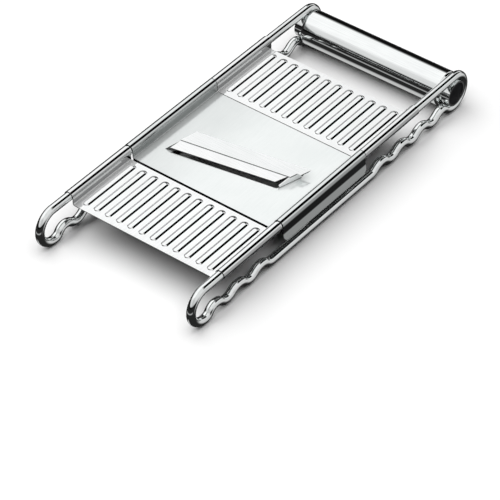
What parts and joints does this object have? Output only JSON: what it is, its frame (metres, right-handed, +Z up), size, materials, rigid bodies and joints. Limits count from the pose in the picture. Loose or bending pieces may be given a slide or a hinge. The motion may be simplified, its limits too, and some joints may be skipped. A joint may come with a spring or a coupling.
{
  "type": "mandoline slicer",
  "caption": "Flat slicer with a skewed raised blade on a lift-off insert between ribbed plates, on two bent wire side rails with wavy grips and a tube handle.",
  "frame": {"origin": "on the surface the slicer stands on, under the middle of its length and width", "axes": "+X to the right seen from the feet, +Y along the slicer from the feet to the handle, +Z up"},
  "size_m": [0.1296, 0.2924, 0.031],
  "materials": {
    "wire": "bright polished stainless wire",
    "plate": "bright stainless sheet with pressed ribs",
    "insert": "satin stainless sheet",
    "bridge": "satin stainless sheet",
    "blade": "ground stainless blade",
    "handle": "bright polished stainless tube",
    "handle_end": "bright polished stainless",
    "plug": "matte black plastic"
  },
  "bodies": {
    "frame": {"left_side_wire": "wire", "right_side_wire": "wire", "front_ribbed_plate": "plate", "rear_ribbed_plate": "plate", "handle_tube": "handle", "left_handle_end": "handle_end", "right_handle_end": "handle_end", "left_handle_plug": "plug", "right_handle_plug": "plug"},
    "insert": {"insert_plate": "insert", "blade_bridge": "bridge", "slicing_blade": "blade"}
  },
  "joints": [
    {"name": "insert_lift", "type": "slide", "parent": "frame", "child": "insert", "axis": [0, 0, 1], "range_m": [0, 0.03]}
  ]
}
